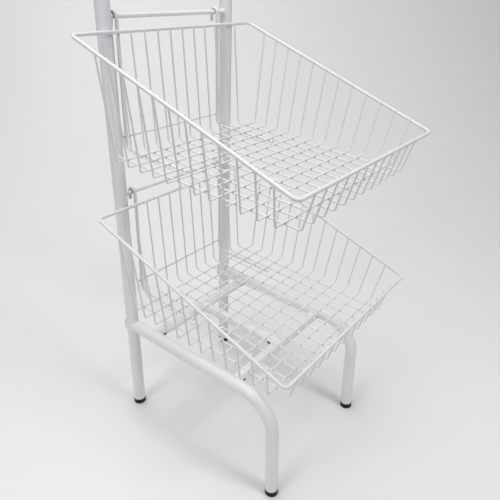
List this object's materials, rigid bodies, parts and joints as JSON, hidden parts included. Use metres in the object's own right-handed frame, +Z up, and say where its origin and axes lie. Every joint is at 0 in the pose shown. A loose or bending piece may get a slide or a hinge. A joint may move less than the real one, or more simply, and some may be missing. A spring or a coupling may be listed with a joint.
{
  "type": "tiered wire basket display stand",
  "caption": "Free-standing display stand of white tube with sloping wire baskets that hook over rods between its posts.",
  "frame": {"origin": "on the floor, at the middle of the whole object's footprint", "axes": "+Z up; the baskets' low front faces -Y and the posts stand at +Y; +X is to the right for a person who faces the object's front"},
  "size_m": [0.4385, 0.4503, 0.885],
  "materials": {
    "frame_coat": "white powder coat on steel tube, semi-gloss, light orange peel",
    "basket_coat": "white powder coat on steel wire, semi-gloss, built up at the welds",
    "foot_rubber": "black moulded rubber, satin",
    "cap_plastic": "white moulded plastic, fine texture",
    "washer_plastic": "pale moulded nylon, satin",
    "zinc_steel": "bright zinc plate, satin"
  },
  "bodies": {
    "stand": {"left_post": "frame_coat", "left_post_cap": "cap_plastic", "left_side_leg": "frame_coat", "rear_left_foot": "foot_rubber", "front_left_foot": "foot_rubber", "left_joint_bolt": "zinc_steel", "left_saddle_washer": "washer_plastic", "left_nut_plug": "zinc_steel", "right_post": "frame_coat", "right_post_cap": "cap_plastic", "right_side_leg": "frame_coat", "rear_right_foot": "foot_rubber", "front_right_foot": "foot_rubber", "right_joint_bolt": "zinc_steel", "right_saddle_washer": "washer_plastic", "right_nut_plug": "zinc_steel", "rear_cross_tube": "frame_coat", "front_cross_tube": "frame_coat", "middle_tube": "frame_coat", "upper_hook_rod": "frame_coat", "lower_hook_rod": "frame_coat"},
    "upper_basket": {"upper_basket_rim": "basket_coat", "upper_basket_long_wires": "basket_coat", "upper_basket_cross_wires": "basket_coat", "upper_basket_left_hanger": "basket_coat", "upper_basket_right_hanger": "basket_coat", "upper_basket_spacer_rod": "basket_coat"},
    "lower_basket": {"lower_basket_rim": "basket_coat", "lower_basket_long_wires": "basket_coat", "lower_basket_cross_wires": "basket_coat", "lower_basket_left_hanger": "basket_coat", "lower_basket_right_hanger": "basket_coat", "lower_basket_spacer_rod": "basket_coat"}
  },
  "joints": [
    {"name": "upper_basket_tilt", "type": "hinge", "parent": "stand", "child": "upper_basket", "pos_m": [0, 0.20532, 0.814], "axis": [-1, 0, 0], "range_deg": [0, 60]},
    {"name": "lower_basket_tilt", "type": "hinge", "parent": "stand", "child": "lower_basket", "pos_m": [0, 0.20532, 0.512], "axis": [-1, 0, 0], "range_deg": [0, 28]}
  ]
}
